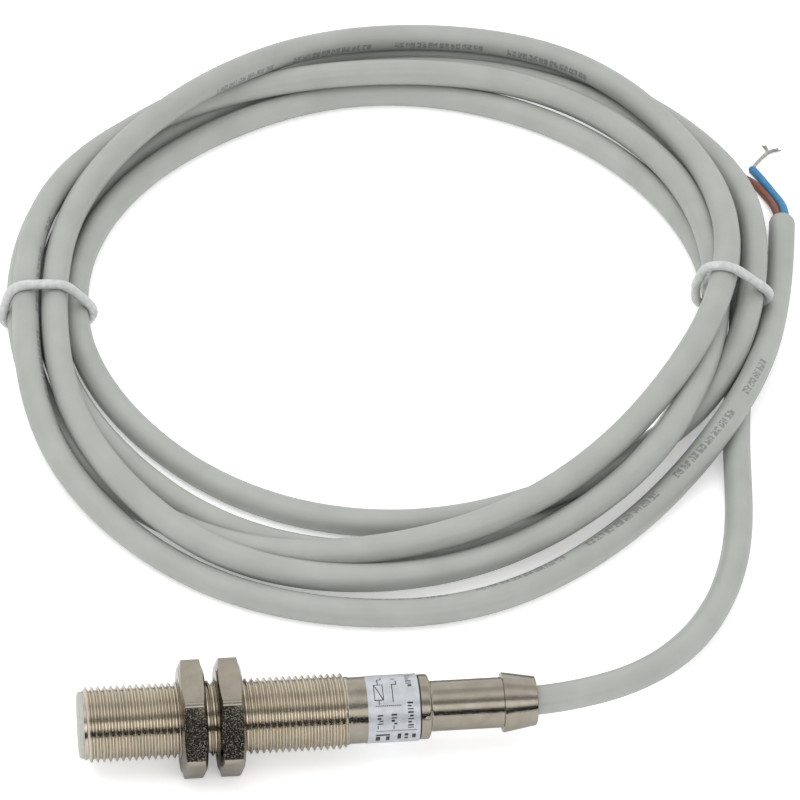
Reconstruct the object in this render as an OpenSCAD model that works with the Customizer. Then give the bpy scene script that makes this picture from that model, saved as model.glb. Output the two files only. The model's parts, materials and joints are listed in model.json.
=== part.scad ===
// Inductive proximity sensor: M12 x 1 threaded barrel, two flat hexagon nuts and a coiled two-core lead.
// Origin at the centre of the sensing face; the barrel's axis is X and the lead leaves towards +X.
// +Z is up and the nuts stand on the plane z = floor_z. Millimetres throughout.

/* [Barrel] */
// Major diameter of the thread
thread_d = 12; // [12:0.1:12.4]
// Thread pitch
pitch = 1; // [1:0.05:1.05]
// Number of thread crests
crests = 41; // [36:1:41]
// Diameter of the plain rear stretch
body_d = 10.5; // [10.2:0.1:10.6]
// Bore of the barrel
bore_d = 9.2; // [9:0.1:9.4]
// Distance from the sensing face to the barrel's rear end
barrel_end = 53.3; // [50:0.1:54]

/* [Sensing face] */
// How far the cap stands in front of the barrel
cap_lip = 0.8; // [0.5:0.1:1]
// Depth of the cap's sleeve inside the barrel
cap_depth = 9; // [8:0.5:10]

/* [Nuts] */
// Width across flats
nut_flats = 17; // [16:0.5:19]
// Nut thickness
nut_thick = 4; // [3:0.5:4]
// Middle of the front nut
front_nut_x = 17.8; // [16:0.1:18]
// Middle of the rear nut
rear_nut_x = 23.65; // [23.5:0.05:25]

/* [Label] */
// Front edge of the foil label
label_start = 45.1; // [44:0.1:47]
// Rear edge of the foil label
label_end = 53.3; // [51:0.1:53.3]
// Foil thickness
label_thick = 0.08; // [0.06:0.01:0.12]

/* [Tail fitting] */
// Diameter of the collar behind the barrel
collar_d = 10.3; // [10:0.1:10.5]
// Rear side of the collar
collar_end = 55.2; // [55:0.1:56]
// Diameter of the neck
neck_d = 8; // [7.6:0.1:8.4]
// Front edge of the barb
barb_start = 66.8; // [64:0.1:68]
// Largest diameter of the barb
barb_d = 9.5; // [9:0.1:10]
// Diameter at the fitting's rear end
tip_d = 7.8; // [7.2:0.1:8]
// Rear end of the fitting, where the lead comes out
fitting_end = 72.2; // [71:0.1:74]

/* [Lead] */
// Diameter of the lead's jacket
cable_d = 4.7; // [4.5:0.1:4.8]
// Diameter of one insulated core
core_d = 1.5; // [1.3:0.1:1.6]
// Diameter of a twisted end of bare strands
strand_d = 0.9; // [0.7:0.1:1]
// Diameter of the tie string
tie_d = 1.5; // [1.2:0.1:1.8]

/* [Hidden] */

round_fn = 96;
floor_z = -nut_flats / 2;
crest_r = thread_d / 2;
root_r = crest_r - 0.613 * pitch;
crest_flat = pitch / 8;
root_flat = pitch / 4;
flank = (pitch - crest_flat - root_flat) / 2;
thread_start = 1;
thread_end = thread_start + crests * pitch;
body_r = body_d / 2;
bore_r = bore_d / 2;
cap_face = 0.9;
cap_inner_r = bore_r - 0.45;
nut_clearance = 0.05;
nut_corner_r = 9.66;
spigot_start = 48.9;
seal_thick = 0.2;
collar_start = barrel_end + seal_thick;
fitting_bore_r = 3;
jacket_start = 57.5;
grommet_end = 66;
cable_r = cable_d / 2;
core_r = core_d / 2;
strand_r = strand_d / 2;

// pot core and winding behind the face
core_back = 4.9;
core_outer_r = 3.95;
groove_inner_r = 1.7;
groove_outer_r = 3.3;
groove_depth = 2.7;
bobbin_wall = 0.2;
winding_r = 3.1;
lead_pin_y = 2.4;
lead_pin_r = 0.15;

// printed circuit board along the axis
board_x = [6, 47.5];
board_w = 7.4;
board_t = 1;
board_top = board_t / 2;

// heights of things that lie on the floor plane
cable_z = floor_z + cable_r;
core_z = floor_z + core_r;
strand_z = floor_z + strand_r;

// outer outline of the coil as four end circles, and its round hole, each [x, y, radius]
COIL_OUTER = [[72, 118, 58], [59, 105, 64.5], [52, 82, 57], [66, 92, 60]];
COIL_HOLE = [62, 105, 54];
coil_height = 9;
hump_height = 13.2;
hump_size = 70;

// route of the lead from inside the fitting to the coil
LEAD_ROUTE = [[jacket_start, 0, 0], [66, 0, 0], [fitting_end, 0, 0], [78, 0.8, -0.2], [84, 2.6, -1],
    [91, 7.4, -2.5], [99, 14, -4.4], [105.5, 24, -5.8], [111, 35, cable_z], [113.5, 46, cable_z],
    [115, 58, cable_z]];
// route of the jacket's free end, from the coil to the stripped cores
TAIL_ROUTE = [[124, 85, -3.6], [126, 90, -5.2], [128, 95, cable_z], [130, 101, cable_z],
    [131.5, 107, cable_z], [133, 114, cable_z], [134.5, 121, cable_z]];
BLUE_ROUTE = [[134.9, 119.5, -5.9], [135.4, 123.5, -6.2], [135.4, 127, -7], [134.6, 131, core_z],
    [133.3, 134.8, core_z], [132, 138, core_z]];
BROWN_ROUTE = [[134, 119.5, -6.3], [134.1, 123.3, -6.6], [134, 126.7, -7.2], [133.2, 130.2, core_z],
    [131.8, 133.4, core_z], [129.5, 136, core_z]];
BLUE_END_ROUTE = [[131.8, 137.2, strand_z], [132.8, 139, strand_z], [134.3, 141, strand_z],
    [136, 143, strand_z], [138.5, 143.7, strand_z]];
BROWN_END_ROUTE = [[130.2, 135.4, strand_z], [128, 137, strand_z], [125, 139, strand_z]];

// points of a circle square to a path that never runs upright
function side_of(d) = cross(d, [0, 0, 1]) / norm(cross(d, [0, 0, 1]));
function upper_of(d) = cross(side_of(d), d) / norm(d);
function ring_points(p, d, r, sides) = [for (k = [0:sides - 1])
    p + r * (side_of(d) * sin(360 * k / sides) - upper_of(d) * cos(360 * k / sides))];
function heading(path, i) = path[min(i + 1, len(path) - 1)] - path[max(i - 1, 0)];

// round tube along a route, one ring of points at each route point
module tube(path, r, sides) {
    rings = len(path);
    skin = [for (i = [0:rings - 1]) each ring_points(path[i], heading(path, i), r, sides)];
    walls = [for (i = [0:rings - 2], k = [0:sides - 1])
        let (n = (k + 1) % sides)
        [i * sides + k, i * sides + n, (i + 1) * sides + n, (i + 1) * sides + k]];
    first = [for (k = [sides - 1:-1:0]) k];
    last = [for (k = [0:sides - 1]) (rings - 1) * sides + k];
    polyhedron(points = skin, faces = concat(walls, [first], [last]), convexity = 6);
}

// shape turned about the barrel's axis; each profile point is [radius, distance from the face]
module turned(profile) {
    rotate([0, 90, 0]) rotate_extrude($fn = round_fn) polygon(profile);
}

// plain ring about the barrel's axis
module ring(r_out, r_in, x0, x1) {
    turned([[r_in, x0], [r_out, x0], [r_out, x1], [r_in, x1]]);
}

// rod along X at [y, z]
module rod(r, x0, x1, y, z) {
    translate([x0, y, z]) rotate([0, 90, 0]) cylinder(r = r, h = x1 - x0, $fn = 24);
}

// block standing on the board's upper face, or hanging under it
module block(x, y, size, under = false) {
    z = under ? -board_top - size[2] : board_top;
    translate([x - size[0] / 2, y - size[1] / 2, z]) cube(size);
}

function crest_profile(i) = let (x = thread_start + i * pitch)
    [[root_r, x], [crest_r, x + flank], [crest_r, x + flank + crest_flat],
        [root_r, x + 2 * flank + crest_flat]];

module barrel() {
    front = [[bore_r, cap_lip], [root_r, cap_lip]];
    thread = [for (i = [0:crests - 1]) each crest_profile(i)];
    rear = [[root_r, thread_end + 0.4], [body_r, thread_end + 0.8], [body_r, barrel_end],
        [bore_r, barrel_end]];
    color("#b9b2a6") turned(concat(front, thread, rear));
}

module face_cap() {
    edge = 0.25;
    r = body_r;
    color("#c9c6bf") turned([[0, 0], [r - edge, 0], [r, edge], [r, cap_lip], [bore_r, cap_lip],
        [bore_r, cap_depth], [cap_inner_r, cap_depth], [cap_inner_r, cap_face], [0, cap_face]]);
}

// flat hexagon nut with chamfered corners and a countersunk bore, lying on one flat
module nut(x) {
    half = nut_thick / 2;
    flat_r = nut_flats / 2;
    hole_r = crest_r + nut_clearance;
    sink = 0.45;
    translate([x, 0, 0]) difference() {
        intersection() {
            rotate([0, 90, 0]) rotate([0, 0, 30])
                cylinder(r = flat_r / cos(30), h = nut_thick, center = true, $fn = 6);
            turned([[0, -half], [flat_r - 0.45, -half], [flat_r, -half + 0.26],
                [nut_corner_r, -half + 0.55], [nut_corner_r, half - 0.55], [flat_r, half - 0.26],
                [flat_r - 0.45, half], [0, half]]);
        }
        turned([[0, -half - 1], [hole_r + sink, -half - 1], [hole_r + sink, -half],
            [hole_r, -half + sink], [hole_r, half - sink], [hole_r + sink, half],
            [hole_r + sink, half + 1], [0, half + 1]]);
    }
}

module front_nut() {
    color("#aaa398") nut(front_nut_x);
}

module rear_nut() {
    color("#aaa398") nut(rear_nut_x);
}

module rating_label() {
    color("#d9dadb") ring(body_r + label_thick, body_r, label_start, label_end);
}

module rear_seal() {
    color("#2b2b2b") ring(body_r - 0.2, bore_r, barrel_end, collar_start);
}

module tail_fitting() {
    r = collar_d / 2;
    rounding = 0.5;
    neck_r = neck_d / 2;
    blend = 0.4;
    color("#b9b2a6") turned([[fitting_bore_r, spigot_start], [bore_r, spigot_start],
        [bore_r, collar_start], [r, collar_start], [r, collar_end - rounding],
        [r - 0.15, collar_end - 0.15], [r - rounding, collar_end], [neck_r + blend, collar_end],
        [neck_r, collar_end + blend], [neck_r, barb_start], [barb_d / 2 - 0.15, barb_start],
        [barb_d / 2, barb_start + 0.2], [tip_d / 2, fitting_end - 0.2],
        [tip_d / 2 - 0.2, fitting_end], [cable_r, fitting_end], [cable_r, grommet_end],
        [fitting_bore_r, grommet_end]]);
}

module cable_grommet() {
    color("#303030") ring(fitting_bore_r, cable_r, jacket_start, grommet_end);
}

// pot core with a round groove open towards the face and two holes for the winding's leads
module ferrite_core() {
    groove_end = cap_face + groove_depth;
    color("#4a4a4c") difference() {
        turned([[0, cap_face], [groove_inner_r, cap_face], [groove_inner_r, groove_end],
            [groove_outer_r, groove_end], [groove_outer_r, cap_face], [core_outer_r, cap_face],
            [core_outer_r, core_back], [0, core_back]]);
        for (s = [-1, 1]) rod(lead_pin_r + 0.15, groove_end - 0.5, core_back + 1, s * lead_pin_y,
            board_top + lead_pin_r);
    }
}

module coil_bobbin() {
    x0 = cap_face;
    x1 = cap_face + groove_depth;
    hub_r = groove_inner_r + bobbin_wall;
    rim_r = winding_r + 0.15;
    color("#e8e2d2") difference() {
        turned([[groove_inner_r, x0], [rim_r, x0], [rim_r, x0 + bobbin_wall],
            [hub_r, x0 + bobbin_wall], [hub_r, x1 - bobbin_wall], [rim_r, x1 - bobbin_wall],
            [rim_r, x1], [groove_inner_r, x1]]);
        for (s = [-1, 1]) rod(lead_pin_r, x1 - 2 * bobbin_wall, x1 + 1, s * lead_pin_y,
            board_top + lead_pin_r);
    }
}

module coil_winding() {
    color("#b5652d") ring(winding_r, groove_inner_r + bobbin_wall, cap_face + bobbin_wall,
        cap_face + groove_depth - bobbin_wall);
}

module shield_ring() {
    color("#c9a45a") ring(cap_inner_r, cap_inner_r - 0.15, cap_face, cap_depth);
}

module coil_leads() {
    color("#b5652d") for (s = [-1, 1]) rod(lead_pin_r, cap_face + groove_depth - bobbin_wall,
        board_x[0] + 2, s * lead_pin_y, board_top + lead_pin_r);
}

module circuit_board() {
    color("#2f6b3c") translate([board_x[0], -board_w / 2, -board_top])
        cube([board_x[1] - board_x[0], board_w, board_t]);
}

// eight-legged integrated circuit
module oscillator_chip() {
    x = 14;
    leg = [0.45, 1, 0.3];
    color("#26262a") union() {
        block(x, 0, [4.9, 3.9, 1.5]);
        for (s = [-1, 1], k = [0:3]) block(x + (k - 1.5) * 1.27, s * 2.35, leg);
    }
}

module bridge_rectifier() {
    x = 36;
    leg = [0.6, 1, 0.3];
    color("#2a2a2e") union() {
        block(x, 0, [4.7, 3.9, 2.2]);
        for (s = [-1, 1], k = [-1, 1]) block(x + k * 1.27, s * 2.35, leg);
    }
}

// power transistor with a wide heat tab and three legs
module output_switch() {
    x = 25;
    color("#232326") union() {
        block(x, 0, [6.5, 3.5, 1.6]);
        block(x, 2.1, [3, 0.9, 0.3]);
        for (k = [-1:1]) block(x + k * 2.3, -2.1, [0.7, 0.9, 0.3]);
    }
}

module smoothing_capacitor() {
    color("#d9a441") block(32, 0, [3.5, 2.8, 1.9], under = true);
}

module resistors() {
    color("#1f1f22") for (k = [0:3], s = [-1, 1]) block(12 + 4 * k, s * 2, [2, 1.2, 0.5], under = true);
}

module chip_capacitors() {
    color("#b08a5e") for (k = [0:2]) block(9.2 + 10.5 * k, 0, [1.2, 2, 0.8]);
}

// insulated cores between the board and the end of the jacket
module core_inside(side) {
    rod(0.65, 43.5, jacket_start, side * 1.1, board_top + 0.65);
}

module brown_core_inside() {
    color("#7a4a3a") core_inside(-1);
}

module blue_core_inside() {
    color("#3f86c0") core_inside(1);
}

// resin that fills the barrel around the electronics
module potting() {
    color("#5b4a36") difference() {
        union() {
            rod_fill(cap_inner_r - 0.15, core_back, cap_depth);
            rod_fill(bore_r, cap_depth, spigot_start);
            rod_fill(fitting_bore_r, spigot_start, jacket_start);
        }
        coil_leads();
        circuit_board();
        oscillator_chip();
        bridge_rectifier();
        output_switch();
        smoothing_capacitor();
        resistors();
        chip_capacitors();
        brown_core_inside();
        blue_core_inside();
    }
}

module rod_fill(r, x0, x1) {
    turned([[0, x0], [r, x0], [r, x1], [0, x1]]);
}

module cable_lead() {
    color("#b0b2ae") tube(LEAD_ROUTE, cable_r, 10);
}

module disc(c, sides) {
    translate([c[0], c[1]]) circle(r = c[2], $fn = sides);
}

// the coil seen from above: an oval band that leans from +X towards +Y
module coil_band() {
    difference() {
        hull() for (c = COIL_OUTER) disc(c, 64);
        disc(COIL_HOLE, 96);
    }
}

// outer shape of the whole coil, higher where turns cross over each other
module cable_coil() {
    color("#b0b2ae") translate([0, 0, floor_z]) union() {
        linear_extrude(coil_height) coil_band();
        linear_extrude(hump_height) intersection() {
            coil_band();
            union() {
                translate([90, 45]) square([hump_size, hump_size]);
                translate([0, 120]) square([hump_size, hump_size]);
            }
        }
    }
}

module cable_tail() {
    color("#b0b2ae") tube(TAIL_ROUTE, cable_r, 10);
}

// string loop round the coil's section, upright and across the coil
module tie(x0, x1, y, height) {
    corner = 2.5;
    translate([0, y + tie_d / 2, floor_z]) rotate([90, 0, 0]) linear_extrude(tie_d) difference() {
        rounded_box(x0 - tie_d, 0, x1 + tie_d, height + tie_d, corner);
        rounded_box(x0, tie_d, x1, height, corner - 1);
    }
}

module rounded_box(x0, y0, x1, y1, r) {
    hull() for (x = [x0 + r, x1 - r], y = [y0 + r, y1 - r])
        translate([x, y]) circle(r = r, $fn = 32);
}

module tie_left() {
    color("#e9e9e6") tie(-5.7, 8.2, 104, coil_height);
}

module tie_right() {
    color("#e9e9e6") tie(115.8, 128, 101, hump_height);
}

module brown_wire() {
    color("#7a4a3a") tube(BROWN_ROUTE, core_r, 8);
}

module blue_wire() {
    color("#3f86c0") tube(BLUE_ROUTE, core_r, 8);
}

module brown_strands() {
    color("#cfcfca") tube(BROWN_END_ROUTE, strand_r, 8);
}

module blue_strands() {
    color("#cfcfca") tube(BLUE_END_ROUTE, strand_r, 8);
}

barrel();
face_cap();
front_nut();
rear_nut();
rating_label();
rear_seal();
tail_fitting();
cable_grommet();
ferrite_core();
coil_bobbin();
coil_winding();
shield_ring();
coil_leads();
circuit_board();
oscillator_chip();
bridge_rectifier();
output_switch();
smoothing_capacitor();
resistors();
chip_capacitors();
brown_core_inside();
blue_core_inside();
potting();
cable_lead();
cable_coil();
cable_tail();
tie_left();
tie_right();
brown_wire();
blue_wire();
brown_strands();
blue_strands();
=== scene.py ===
import json
import math
import random

import bmesh
import bpy
import numpy as np
from mathutils import Matrix, Vector


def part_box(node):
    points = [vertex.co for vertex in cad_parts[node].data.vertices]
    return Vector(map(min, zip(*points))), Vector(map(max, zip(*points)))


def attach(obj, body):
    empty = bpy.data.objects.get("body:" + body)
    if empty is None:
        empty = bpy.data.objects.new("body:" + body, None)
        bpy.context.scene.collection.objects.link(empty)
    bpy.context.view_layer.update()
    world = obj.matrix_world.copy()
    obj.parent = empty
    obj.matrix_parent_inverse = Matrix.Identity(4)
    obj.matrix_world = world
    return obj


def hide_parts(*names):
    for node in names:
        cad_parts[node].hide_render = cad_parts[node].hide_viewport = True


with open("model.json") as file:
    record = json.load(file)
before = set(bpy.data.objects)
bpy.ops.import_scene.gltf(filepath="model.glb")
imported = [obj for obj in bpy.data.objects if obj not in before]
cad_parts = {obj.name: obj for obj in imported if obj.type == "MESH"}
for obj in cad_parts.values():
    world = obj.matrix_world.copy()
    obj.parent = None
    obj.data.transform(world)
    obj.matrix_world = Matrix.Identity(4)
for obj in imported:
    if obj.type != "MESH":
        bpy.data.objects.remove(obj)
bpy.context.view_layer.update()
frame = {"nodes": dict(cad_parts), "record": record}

# Sizes are millimetres, turned to metres where a mesh or a call needs them.
MM = 0.001
NODES = frame["nodes"]


def size(node, axis):
    """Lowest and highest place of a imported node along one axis, in millimetres."""
    low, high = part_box(node)
    return low[axis] / MM, high[axis] / MM


FLOOR_Z = -8.5
# barrel, with its M12 x 1 thread from the front to THREAD_END
BARREL_FRONT, BARREL_REAR = size("barrel", 0)
THREAD_R = size("barrel", 1)[1]
THREAD_DEPTH = 0.613
THREAD_END = 42.0
PITCH = 1.0
BORE_R = 4.6
FOIL = 0.08
BODY_R = size("rating_label", 1)[1] - FOIL
LABEL_FRONT, LABEL_REAR = size("rating_label", 0)
FITTING_END = size("tail_fitting", 0)[1]
# lead, its two cores and the string ties; PRESSED is how flat the coil squeezes a tie under it
CABLE_D = 4.7
CABLE_R = CABLE_D / 2
CABLE_Z = FLOOR_Z + CABLE_R
CORE_R = 0.75
CORE_Z = FLOOR_Z + CORE_R
TIE_R = 0.88
PRESSED = 0.6


# ---------------------------------------------------------------- camera, light and floor

# Where the camera stands, then its turn to the right, its dip and its lean in degrees, and its lens.
CAMERA_PLACE = (-27.6, -479.2, 507.0)
CAMERA_YAW = 8.94
CAMERA_DOWN = 42.29
CAMERA_ROLL = 3.38
CAMERA_LENS = 200.3


def make_camera():
    """The camera, and plain colours with no film look."""
    yaw, down, roll = (math.radians(a) for a in (CAMERA_YAW, CAMERA_DOWN, CAMERA_ROLL))
    ahead = Vector((math.sin(yaw) * math.cos(down), math.cos(yaw) * math.cos(down), -math.sin(down)))
    right = Vector((math.cos(yaw), -math.sin(yaw), 0))
    up = right.cross(ahead)
    leaned_right = math.cos(roll) * right + math.sin(roll) * up
    leaned_up = math.cos(roll) * up - math.sin(roll) * right
    data = bpy.data.cameras.new("camera")
    data.lens = CAMERA_LENS
    data.clip_start = 0.05
    data.clip_end = 20
    camera = bpy.data.objects.new("camera", data)
    turn = Matrix((leaned_right, leaned_up, -ahead)).transposed().to_4x4()
    camera.matrix_world = Matrix.Translation(Vector(CAMERA_PLACE) * MM) @ turn
    bpy.context.scene.collection.objects.link(camera)
    bpy.context.scene.camera = camera
    bpy.context.scene.view_settings.view_transform = "Standard"


def linear(hex_colour):
    """Turns an sRGB hex colour to the linear RGBA that shaders use."""
    parts = [int(hex_colour[i:i + 2], 16) / 255 for i in (1, 3, 5)]
    return [p / 12.92 if p <= 0.04045 else ((p + 0.055) / 1.055) ** 2.4 for p in parts] + [1]


def add(tree, kind, inputs=None, **settings):
    """Adds one shader node; inputs holds values or other nodes' outputs, by socket name or number."""
    made = tree.nodes.new(kind)
    for key, value in settings.items():
        setattr(made, key, value)
    for key, value in (inputs or {}).items():
        if isinstance(value, bpy.types.NodeSocket):
            tree.links.new(value, made.inputs[key])
        else:
            made.inputs[key].default_value = value
    return made


def ramp(tree, factor, stops):
    """A colour ramp; stops are (position, grey or colour)."""
    made = add(tree, "ShaderNodeValToRGB", {0: factor})
    band = made.color_ramp
    while len(band.elements) < len(stops):
        band.elements.new(1)
    for element, (place, value) in zip(band.elements, stops):
        element.position = place
        element.color = value if isinstance(value, list) else [value, value, value, 1]
    return made.outputs[0]


# The studio's light tent: its brightness by the angle from straight up towards the front (-Y), degrees.
# Black cloth hangs low in front, and a narrow grey one over it, for the dark bands on the metal.
TENT = [(-180, 0.95), (-38, 0.95), (-28, 0.66), (-16, 0.68), (-4, 0.95), (8, 1.05), (16, 0.85),
        (24, 0.4), (35, 0.3), (39, 0.65), (43, 1.25), (54, 1.35), (62, 1.1), (67, 0.6), (70, 0.05),
        (91, 0.03), (95, 0.4), (99, 0.9), (180, 0.9)]
TENT_PEAK = 2.0


def make_world():
    """The tent, for what the surfaces mirror and are lit by; the camera itself sees plain white."""
    world = bpy.data.worlds.new("light_tent")
    world.use_nodes = True
    tree = world.node_tree
    tree.nodes.clear()
    place = add(tree, "ShaderNodeTexCoord").outputs["Generated"]
    part = add(tree, "ShaderNodeSeparateXYZ", {0: place})
    front = math_node(tree, "MULTIPLY", part.outputs["Y"], -1.0)
    angle = math_node(tree, "ARCTAN2", front, part.outputs["Z"])
    turn = add(tree, "ShaderNodeMapRange", {0: angle, 1: -math.pi, 2: math.pi})
    stops = [((degrees + 180) / 360, level / TENT_PEAK) for degrees, level in TENT]
    tent = add(tree, "ShaderNodeBackground", {"Color": ramp(tree, turn.outputs[0], stops),
                                              "Strength": TENT_PEAK})
    plain = add(tree, "ShaderNodeBackground", {"Color": [1, 1, 1, 1], "Strength": 1.0})
    seen = add(tree, "ShaderNodeLightPath").outputs["Is Camera Ray"]
    both = add(tree, "ShaderNodeMixShader", {0: seen, 1: tent.outputs[0], 2: plain.outputs[0]})
    add(tree, "ShaderNodeOutputWorld", {0: both.outputs[0]})
    bpy.context.scene.world = world


def make_light(name, place, target, width, power):
    """A square soft light that faces its target and isn't mirrored; places in metres, power in watts."""
    data = bpy.data.lights.new(name, "AREA")
    data.size = width
    data.energy = power
    lamp = bpy.data.objects.new(name, data)
    lamp.location = place
    lamp.rotation_euler = (Vector(target) - Vector(place)).to_track_quat("-Z", "Y").to_euler()
    lamp.visible_glossy = False
    bpy.context.scene.collection.objects.link(lamp)


def white_paper():
    """Plain paper, lit a little from itself so that it shows white with only a faint shadow."""
    paper = bpy.data.materials.new("white_paper")
    paper.use_nodes = True
    tree = paper.node_tree
    shader = tree.nodes["Principled BSDF"]
    shader.inputs["Base Color"].default_value = linear("#F9F9F9")
    shader.inputs["Roughness"].default_value = 0.9
    shader.inputs["Specular IOR Level"].default_value = 0.1
    shader.inputs["Emission Color"].default_value = [1, 1, 1, 1]
    shader.inputs["Emission Strength"].default_value = 0.3
    # metal on the table mirrors the paper a little darker than it is seen
    mirrored = add(tree, "ShaderNodeBsdfDiffuse", {"Color": linear("#E2E2E2")})
    glossy = add(tree, "ShaderNodeLightPath").outputs["Is Glossy Ray"]
    both = add(tree, "ShaderNodeMixShader", {0: glossy, 1: shader.outputs[0], 2: mirrored.outputs[0]})
    tree.links.new(both.outputs[0], tree.nodes["Material Output"].inputs[0])
    return paper


def make_stage():
    """The paper floor under everything, and the two soft lights, one overhead and one in front."""
    middle = (0.06, 0.07, 0)
    bm = bmesh.new()
    bmesh.ops.create_grid(bm, x_segments=1, y_segments=1, size=2.5)
    bmesh.ops.translate(bm, verts=bm.verts, vec=(0.06, 0.08, FLOOR_Z * MM))
    floor = new_object("floor", bm)
    floor.data.materials.append(white_paper())
    make_light("soft_top", (-0.2, 0.15, 0.9), middle, 1.0, 4.5)
    make_light("soft_front", (0.15, -0.7, 0.7), middle, 1.0, 3.5)


# ---------------------------------------------------------------- mesh helpers


def new_object(name, bm):
    """A linked object with the bmesh's shape, which is freed."""
    data = bpy.data.meshes.new(name)
    bm.to_mesh(data)
    bm.free()
    made = bpy.data.objects.new(name, data)
    bpy.context.scene.collection.objects.link(made)
    return made


def shade(bm, sharp_angle=32):
    """Smooth faces, with an edge left sharp where its faces meet at more than sharp_angle degrees."""
    limit = math.radians(sharp_angle)
    for face in bm.faces:
        face.smooth = True
    for edge in bm.edges:
        edge.smooth = len(edge.link_faces) == 2 and edge.calc_face_angle(0) < limit


def clean(bm, distance=0.0005):
    """Merges points closer than the distance in millimetres, and turns every face outward."""
    bmesh.ops.remove_doubles(bm, verts=bm.verts, dist=distance * MM)
    bmesh.ops.dissolve_degenerate(bm, edges=bm.edges, dist=distance * MM)
    bmesh.ops.recalc_face_normals(bm, faces=bm.faces)


def outline(bm, points, closed=True):
    """Edges through points given as (distance from the face, radius), in the XZ plane."""
    verts = [bm.verts.new((x * MM, 0, r * MM)) for x, r in points]
    pairs = zip(verts, verts[1:] + verts[:1]) if closed else zip(verts, verts[1:])
    edges = [bm.edges.new(pair) for pair in pairs]
    return verts + edges


def turned(points, steps=128, closed=True):
    """A shape turned about the barrel's axis from (distance from the face, radius) points."""
    bm = bmesh.new()
    bmesh.ops.spin(bm, geom=outline(bm, points, closed), cent=(0, 0, 0), axis=(1, 0, 0), dvec=(0, 0, 0),
                   angle=2 * math.pi, steps=steps, use_merge=True, use_duplicate=False)
    clean(bm)
    return bm


def rounded(points, radius, segments):
    """The closed outline with a curve at each corner that has a third value, in place of its point."""
    made = []
    count = len(points)
    for i, (x, r, *mark) in enumerate(points):
        if not mark:
            made.append((x, r))
            continue
        here = Vector((x, r))
        before = Vector(points[i - 1][:2]) - here
        after = Vector(points[(i + 1) % count][:2]) - here
        reach = min(radius, before.length / 2, after.length / 2)
        first = here + before.normalized() * reach
        last = here + after.normalized() * reach
        for k in range(segments + 1):
            t = k / segments
            made.append(tuple(first * (1 - t) ** 2 + here * 2 * t * (1 - t) + last * t ** 2))
    return made


def finish_piece(piece, body, slot, *replaced):
    """Puts a finished piece on its body, with its material slot and the nodes that it stands for."""
    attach(piece, body)
    if replaced:
        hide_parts(*replaced)
    piece.data.materials.clear()
    piece.data.materials.append(FINISHES[slot])
    return piece


# ---------------------------------------------------------------- lines and tubes


def curve_through(points, spacing):
    """Points at an even spacing along a smooth curve through given points."""
    p = np.array(points, float)
    p = np.vstack([2 * p[0] - p[1], p, 2 * p[-1] - p[-2]])
    fine = []
    for i in range(1, len(p) - 2):
        steps = max(4, int(np.linalg.norm(p[i + 1] - p[i]) / spacing * 4))
        t = np.linspace(0, 1, steps, endpoint=False)[:, None]
        a, b, c, d = p[i - 1], p[i], p[i + 1], p[i + 2]
        fine.append(0.5 * (2 * b + (c - a) * t + (2 * a - 5 * b + 4 * c - d) * t ** 2
                           + (3 * b - a - 3 * c + d) * t ** 3))
    fine.append(p[-2:-1])
    return even(np.vstack(fine), spacing)


def even(path, spacing):
    """The same path, with its points an even distance apart."""
    steps = np.linalg.norm(np.diff(path, axis=0), axis=1)
    run = np.concatenate([[0], np.cumsum(steps)])
    count = max(2, int(round(run[-1] / spacing)) + 1)
    marks = np.linspace(0, run[-1], count)
    return np.stack([np.interp(marks, run, path[:, k]) for k in range(3)], axis=1)


def length_of(path):
    """The path's length in millimetres."""
    return float(np.linalg.norm(np.diff(path, axis=0), axis=1).sum())


def tube(name, path, radius, sides=16, radii=None, closed=False):
    """A round tube along a path, as a mesh; its UV map runs along it (u) and around it (v)."""
    data = bpy.data.curves.new(name, "CURVE")
    data.dimensions = "3D"
    data.bevel_depth = radius * MM
    data.bevel_resolution = max(0, sides // 4 - 1)
    data.use_fill_caps = not closed
    data.twist_mode = "Z_UP"
    line = data.splines.new("POLY")
    line.points.add(len(path) - 1)
    line.use_cyclic_u = closed
    for i, (x, y, z) in enumerate(path):
        line.points[i].co = (x * MM, y * MM, z * MM, 1)
        line.points[i].radius = 1 if radii is None else radii[i]
    curve = bpy.data.objects.new(name + "_line", data)
    bpy.context.scene.collection.objects.link(curve)
    bpy.context.view_layer.update()
    mesh = bpy.data.meshes.new_from_object(curve.evaluated_get(bpy.context.evaluated_depsgraph_get()))
    bpy.data.objects.remove(curve)
    mesh.name = name
    bm = bmesh.new()
    bm.from_mesh(mesh)
    clean(bm, 0.00005)
    shade(bm, 50)
    bm.to_mesh(mesh)
    bm.free()
    piece = bpy.data.objects.new(name, mesh)
    bpy.context.scene.collection.objects.link(piece)
    return piece


def joined(name, pieces):
    """One piece from several meshes."""
    bm = bmesh.new()
    for piece in pieces:
        bm.from_mesh(piece.data)
        bpy.data.objects.remove(piece)
    return new_object(name, bm)


# ---------------------------------------------------------------- the lead

# From inside the fitting straight out, down to the table and round to the coil. The first LEVEL
# points stay where they are when the coil settles.
LEVEL = 7
LEAD_ROUTE = [(57.5, 0, 0), (66, 0, 0), (72.2, 0, 0), (78, 0.8, -0.2), (84, 2.6, -1), (91, 7.4, -2.5),
              (99, 14, -4.4), (105.5, 24, -5.8), (111, 35, CABLE_Z), (113.5, 46, CABLE_Z),
              (115, 58, CABLE_Z)]
# Last stretch of jacket, from the coil to the stripped cores.
TAIL_ROUTE = [(126, 90, -5.2), (128, 95, CABLE_Z), (130, 101, CABLE_Z),
              (131.5, 107, CABLE_Z), (133, 114, CABLE_Z), (134.5, 121, CABLE_Z)]
# The coil's turns, counter-clockwise seen from above. Each station is 30 degrees on from the last,
# starting at -30: the distance from COIL_MIDDLE and the height over the table in cable diameters.
COIL_MIDDLE = (64, 100)
STATION = 30
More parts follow.
